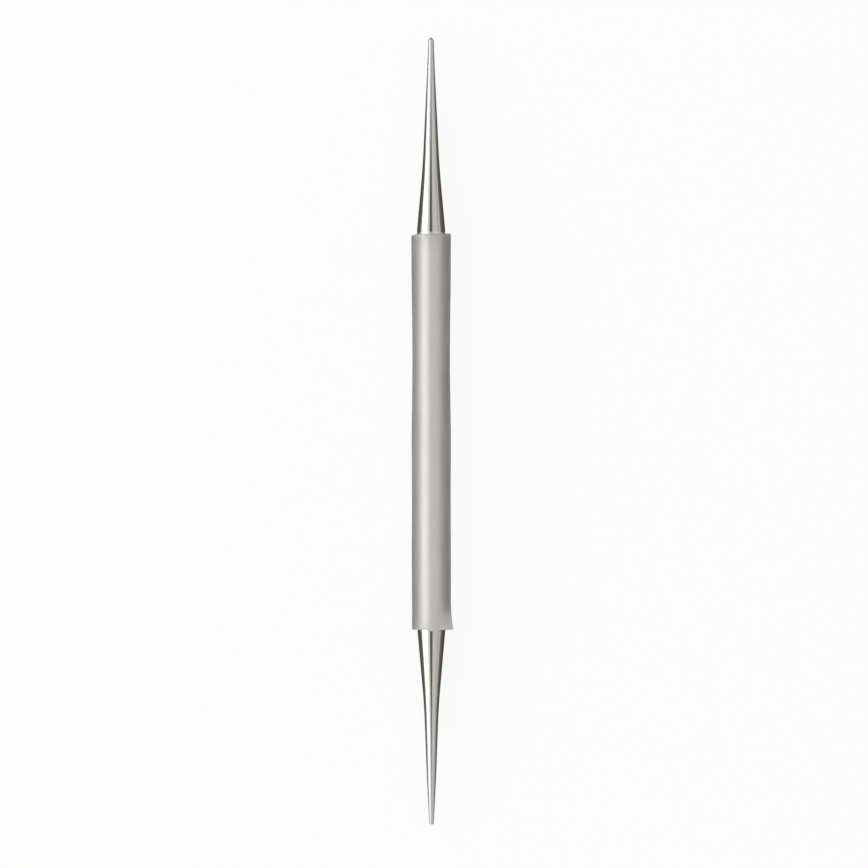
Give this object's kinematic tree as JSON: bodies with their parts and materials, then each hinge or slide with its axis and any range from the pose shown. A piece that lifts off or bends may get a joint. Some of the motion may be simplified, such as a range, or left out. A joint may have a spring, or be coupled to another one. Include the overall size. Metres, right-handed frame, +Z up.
{
  "type": "double-ended cuticle tool",
  "caption": "Slim double-ended nail-care tool: round tapered steel points on a steel core, with a slide-off silicone grip sleeve.",
  "frame": {"origin": "under the middle of the grip sleeve, on the surface that the tool lies on", "axes": "+Y along the tool towards the upper point, +Z up from the surface, +X to the right seen from above with the upper point away from the viewer"},
  "size_m": [0.007, 0.14, 0.007],
  "materials": {
    "point_steel": "polished",
    "core_steel": "ground",
    "silicone": "satin"
  },
  "bodies": {
    "steel": {"core_rod": "core_steel", "upper_point": "point_steel", "lower_point": "point_steel"},
    "sleeve": {"grip_sleeve": "silicone"}
  },
  "joints": [
    {"name": "sleeve_slide", "type": "slide", "parent": "steel", "child": "sleeve", "axis": [0, 1, 0], "range_m": [-0.106, 0.106]}
  ]
}
